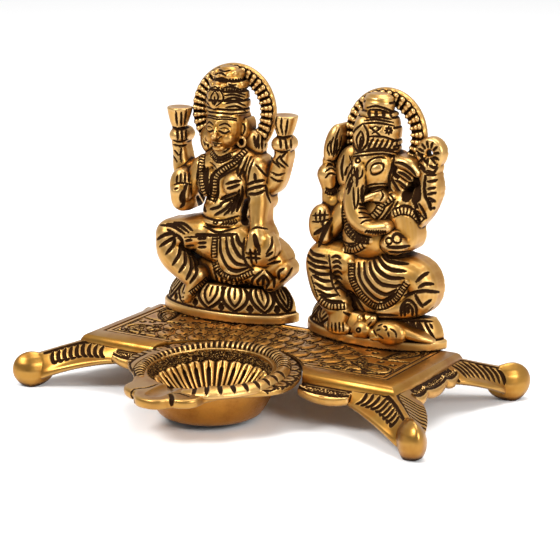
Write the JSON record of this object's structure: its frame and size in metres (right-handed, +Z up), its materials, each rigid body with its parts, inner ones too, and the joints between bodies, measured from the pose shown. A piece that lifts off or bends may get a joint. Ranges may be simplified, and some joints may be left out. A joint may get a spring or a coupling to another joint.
{
  "type": "oil lamp with deity figures",
  "caption": "Footed brass tray lamp: a fluted oil bowl with a wick spout, and a seated goddess and an elephant-headed god before haloes behind it.",
  "frame": {"origin": "middle of the lamp's footprint, on the table", "axes": "+X to the viewer's right along the tray, -Y to the front where the spout points, +Z up"},
  "size_m": [0.205, 0.1412, 0.1349],
  "materials": {
    "cast_brass": "antique gold with dark patina in the recesses, polished on the high places",
    "raw_brass": "brown as-cast bowl with a polished rim",
    "zinc_steel": "zinc plated"
  },
  "bodies": {
    "root": {"tray": "cast_brass", "oil_bowl": "raw_brass", "goddess_figure": "cast_brass", "elephant_god_figure": "cast_brass", "goddess_washer_left": "zinc_steel", "goddess_screw_left": "zinc_steel", "goddess_washer_right": "zinc_steel", "goddess_screw_right": "zinc_steel", "god_washer_left": "zinc_steel", "god_screw_left": "zinc_steel", "god_washer_right": "zinc_steel", "god_screw_right": "zinc_steel"}
  },
  "joints": []
}
